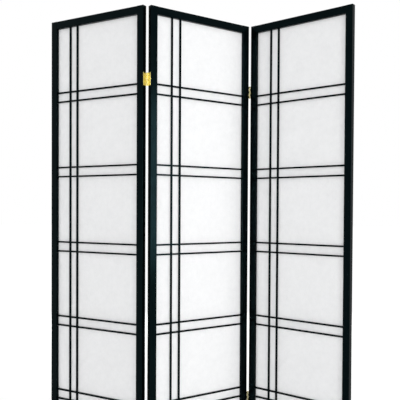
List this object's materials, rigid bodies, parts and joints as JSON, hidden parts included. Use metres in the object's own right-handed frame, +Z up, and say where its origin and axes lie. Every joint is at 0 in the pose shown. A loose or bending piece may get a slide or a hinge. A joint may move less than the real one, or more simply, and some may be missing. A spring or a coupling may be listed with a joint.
{
  "type": "folding screen",
  "caption": "Free-standing shoji folding screen: black lacquered lattice frames over white paper, joined by brass butt hinges so that the panels fold in a zigzag.",
  "frame": {"origin": "middle of the footprint box at floor level, as the screen stands in its zigzag", "axes": "+Z up along the stiles; X along the width of the standing screen; -Y towards the front, the lattice side; +Y towards the back, the shortest way through the zigzag"},
  "size_m": [1.114, 0.3014, 1.784],
  "materials": {
    "lacquered_wood": "satin",
    "shoji_paper": "matte",
    "hinge_brass": "polished"
  },
  "bodies": {
    "middle_panel": {"middle_left_stile": "lacquered_wood", "middle_right_stile": "lacquered_wood", "middle_top_rail": "lacquered_wood", "middle_bottom_rail": "lacquered_wood", "middle_upright_bar_1": "lacquered_wood", "middle_upright_bar_2": "lacquered_wood", "middle_cross_bar_01": "lacquered_wood", "middle_cross_bar_02": "lacquered_wood", "middle_cross_bar_03": "lacquered_wood", "middle_cross_bar_04": "lacquered_wood", "middle_cross_bar_05": "lacquered_wood", "middle_cross_bar_06": "lacquered_wood", "middle_cross_bar_07": "lacquered_wood", "middle_cross_bar_08": "lacquered_wood", "middle_cross_bar_09": "lacquered_wood", "middle_cross_bar_10": "lacquered_wood", "middle_paper": "shoji_paper", "left_fold_upper_hinge_pinned_leaf": "hinge_brass", "left_fold_lower_hinge_pinned_leaf": "hinge_brass", "right_fold_upper_hinge_pinned_leaf": "hinge_brass", "right_fold_lower_hinge_pinned_leaf": "hinge_brass"},
    "left_panel": {"left_left_stile": "lacquered_wood", "left_right_stile": "lacquered_wood", "left_top_rail": "lacquered_wood", "left_bottom_rail": "lacquered_wood", "left_upright_bar_1": "lacquered_wood", "left_upright_bar_2": "lacquered_wood", "left_cross_bar_01": "lacquered_wood", "left_cross_bar_02": "lacquered_wood", "left_cross_bar_03": "lacquered_wood", "left_cross_bar_04": "lacquered_wood", "left_cross_bar_05": "lacquered_wood", "left_cross_bar_06": "lacquered_wood", "left_cross_bar_07": "lacquered_wood", "left_cross_bar_08": "lacquered_wood", "left_cross_bar_09": "lacquered_wood", "left_cross_bar_10": "lacquered_wood", "left_paper": "shoji_paper", "left_fold_upper_hinge_socket_leaf": "hinge_brass", "left_fold_lower_hinge_socket_leaf": "hinge_brass"},
    "right_panel": {"right_left_stile": "lacquered_wood", "right_right_stile": "lacquered_wood", "right_top_rail": "lacquered_wood", "right_bottom_rail": "lacquered_wood", "right_upright_bar_1": "lacquered_wood", "right_upright_bar_2": "lacquered_wood", "right_cross_bar_01": "lacquered_wood", "right_cross_bar_02": "lacquered_wood", "right_cross_bar_03": "lacquered_wood", "right_cross_bar_04": "lacquered_wood", "right_cross_bar_05": "lacquered_wood", "right_cross_bar_06": "lacquered_wood", "right_cross_bar_07": "lacquered_wood", "right_cross_bar_08": "lacquered_wood", "right_cross_bar_09": "lacquered_wood", "right_cross_bar_10": "lacquered_wood", "right_paper": "shoji_paper", "right_fold_upper_hinge_socket_leaf": "hinge_brass", "right_fold_lower_hinge_socket_leaf": "hinge_brass"}
  },
  "joints": [
    {"name": "left_fold", "type": "hinge", "parent": "middle_panel", "child": "left_panel", "pos_m": [-0.1694, -0.09642, 0], "axis": [0, 0, 1], "range_deg": [-114.4, 65.6]},
    {"name": "right_fold", "type": "hinge", "parent": "middle_panel", "child": "right_panel", "pos_m": [0.20995, 0.13545, 0], "axis": [0, 0, 1], "range_deg": [-104.8, 75.2]}
  ]
}
